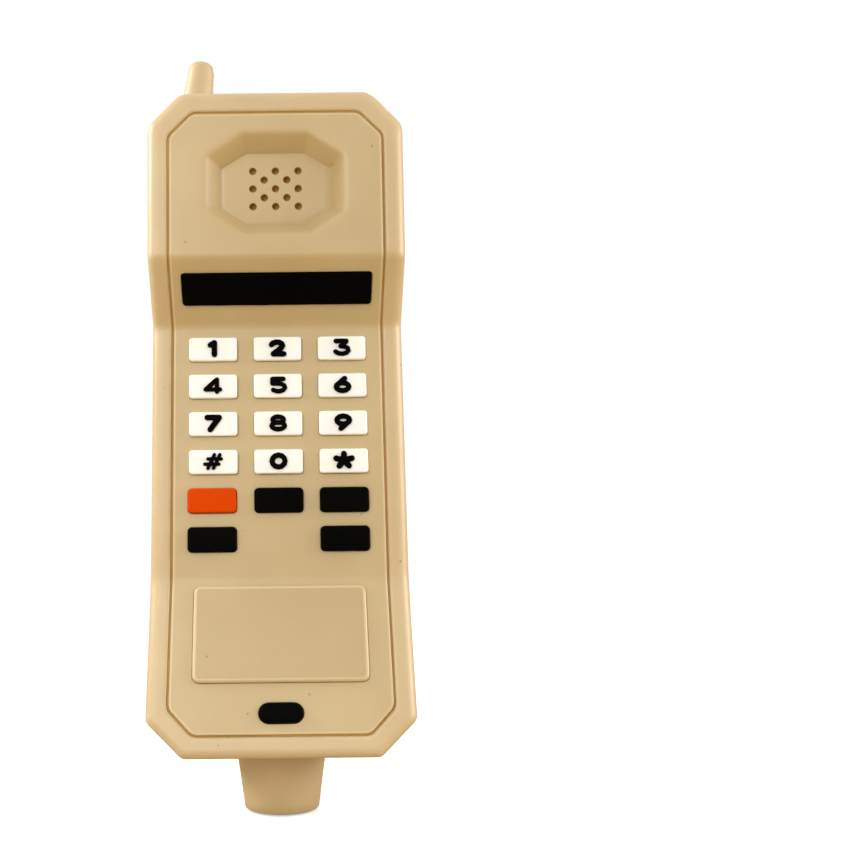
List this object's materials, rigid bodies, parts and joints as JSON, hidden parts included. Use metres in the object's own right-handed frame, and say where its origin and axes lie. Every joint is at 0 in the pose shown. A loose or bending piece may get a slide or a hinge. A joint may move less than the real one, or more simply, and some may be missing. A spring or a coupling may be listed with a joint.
{
  "type": "silicone hand pipe",
  "caption": "Silicone hand pipe moulded as an early mobile brick phone, with a lift-out glass bowl in its back, soft raised keys and a mouthpiece below.",
  "frame": {"origin": "middle of the grip, on the plane of symmetry, where a hand closes round it", "axes": "+Z from the mouthpiece up to the antenna, +Y from the keypad to the back, +X to the right of someone facing the keypad"},
  "size_m": [0.042, 0.0295, 0.1282],
  "materials": {
    "silicone_beige": "satin moulded silicone",
    "silicone_black": "satin moulded silicone",
    "silicone_white": "satin moulded silicone",
    "silicone_orange": "satin moulded silicone",
    "bond": "cured adhesive",
    "bowl_glass": "clear pressed glass"
  },
  "bodies": {
    "handset": {"shell": "silicone_beige", "mouthpiece": "silicone_beige", "antenna_stub": "silicone_beige", "face_plate": "silicone_beige", "bond_line": "bond", "display_strip": "silicone_black", "lower_pad": "silicone_beige", "mic_pad": "silicone_black"},
    "bowl": {"glass_bowl": "bowl_glass"},
    "button_1": {"key_1": "silicone_white", "legend_1": "silicone_black"},
    "button_2": {"key_2": "silicone_white", "legend_2": "silicone_black"},
    "button_3": {"key_3": "silicone_white", "legend_3": "silicone_black"},
    "button_4": {"key_4": "silicone_white", "legend_4": "silicone_black"},
    "button_5": {"key_5": "silicone_white", "legend_5": "silicone_black"},
    "button_6": {"key_6": "silicone_white", "legend_6": "silicone_black"},
    "button_7": {"key_7": "silicone_white", "legend_7": "silicone_black"},
    "button_8": {"key_8": "silicone_white", "legend_8": "silicone_black"},
    "button_9": {"key_9": "silicone_white", "legend_9": "silicone_black"},
    "button_hash": {"key_hash": "silicone_white", "legend_hash": "silicone_black"},
    "button_0": {"key_0": "silicone_white", "legend_0": "silicone_black"},
    "button_star": {"key_star": "silicone_white", "legend_star": "silicone_black"},
    "button_orange": {"orange_key": "silicone_orange"},
    "button_black_1": {"black_key_1": "silicone_black"},
    "button_black_2": {"black_key_2": "silicone_black"},
    "button_black_3": {"black_key_3": "silicone_black"},
    "button_black_4": {"black_key_4": "silicone_black"}
  },
  "joints": [
    {"name": "bowl_lift", "type": "slide", "parent": "handset", "child": "bowl", "axis": [0, 0.9903, 0.1392], "range_m": [0, 0.025]},
    {"name": "button_1_press", "type": "slide", "parent": "handset", "child": "button_1", "axis": [0, 0.9978, -0.0663], "range_m": [0, 0.0006], "stiffness_N_per_m": 300, "springref_m": -0.0005},
    {"name": "button_2_press", "type": "slide", "parent": "handset", "child": "button_2", "axis": [0, 0.9978, -0.0663], "range_m": [0, 0.0006], "stiffness_N_per_m": 300, "springref_m": -0.0005},
    {"name": "button_3_press", "type": "slide", "parent": "handset", "child": "button_3", "axis": [0, 0.9978, -0.0663], "range_m": [0, 0.0006], "stiffness_N_per_m": 300, "springref_m": -0.0005},
    {"name": "button_4_press", "type": "slide", "parent": "handset", "child": "button_4", "axis": [0, 0.9978, -0.0663], "range_m": [0, 0.0006], "stiffness_N_per_m": 300, "springref_m": -0.0005},
    {"name": "button_5_press", "type": "slide", "parent": "handset", "child": "button_5", "axis": [0, 0.9978, -0.0663], "range_m": [0, 0.0006], "stiffness_N_per_m": 300, "springref_m": -0.0005},
    {"name": "button_6_press", "type": "slide", "parent": "handset", "child": "button_6", "axis": [0, 0.9978, -0.0663], "range_m": [0, 0.0006], "stiffness_N_per_m": 300, "springref_m": -0.0005},
    {"name": "button_7_press", "type": "slide", "parent": "handset", "child": "button_7", "axis": [0, 0.9978, -0.0663], "range_m": [0, 0.0006], "stiffness_N_per_m": 300, "springref_m": -0.0005},
    {"name": "button_8_press", "type": "slide", "parent": "handset", "child": "button_8", "axis": [0, 0.9978, -0.0663], "range_m": [0, 0.0006], "stiffness_N_per_m": 300, "springref_m": -0.0005},
    {"name": "button_9_press", "type": "slide", "parent": "handset", "child": "button_9", "axis": [0, 0.9978, -0.0663], "range_m": [0, 0.0006], "stiffness_N_per_m": 300, "springref_m": -0.0005},
    {"name": "button_hash_press", "type": "slide", "parent": "handset", "child": "button_hash", "axis": [0, 0.9978, -0.0663], "range_m": [0, 0.0006], "stiffness_N_per_m": 300, "springref_m": -0.0005},
    {"name": "button_0_press", "type": "slide", "parent": "handset", "child": "button_0", "axis": [0, 0.9978, -0.0663], "range_m": [0, 0.0006], "stiffness_N_per_m": 300, "springref_m": -0.0005},
    {"name": "button_star_press", "type": "slide", "parent": "handset", "child": "button_star", "axis": [0, 0.9978, -0.0663], "range_m": [0, 0.0006], "stiffness_N_per_m": 300, "springref_m": -0.0005},
    {"name": "button_orange_press", "type": "slide", "parent": "handset", "child": "button_orange", "axis": [0, 0.9978, -0.0663], "range_m": [0, 0.0006], "stiffness_N_per_m": 300, "springref_m": -0.0005},
    {"name": "button_black_1_press", "type": "slide", "parent": "handset", "child": "button_black_1", "axis": [0, 0.9978, -0.0663], "range_m": [0, 0.0006], "stiffness_N_per_m": 300, "springref_m": -0.0005},
    {"name": "button_black_2_press", "type": "slide", "parent": "handset", "child": "button_black_2", "axis": [0, 0.9978, -0.0663], "range_m": [0, 0.0006], "stiffness_N_per_m": 300, "springref_m": -0.0005},
    {"name": "button_black_3_press", "type": "slide", "parent": "handset", "child": "button_black_3", "axis": [0, 0.9978, -0.0663], "range_m": [0, 0.0006], "stiffness_N_per_m": 300, "springref_m": -0.0005},
    {"name": "button_black_4_press", "type": "slide", "parent": "handset", "child": "button_black_4", "axis": [0, 0.9978, -0.0663], "range_m": [0, 0.0006], "stiffness_N_per_m": 300, "springref_m": -0.0005}
  ]
}
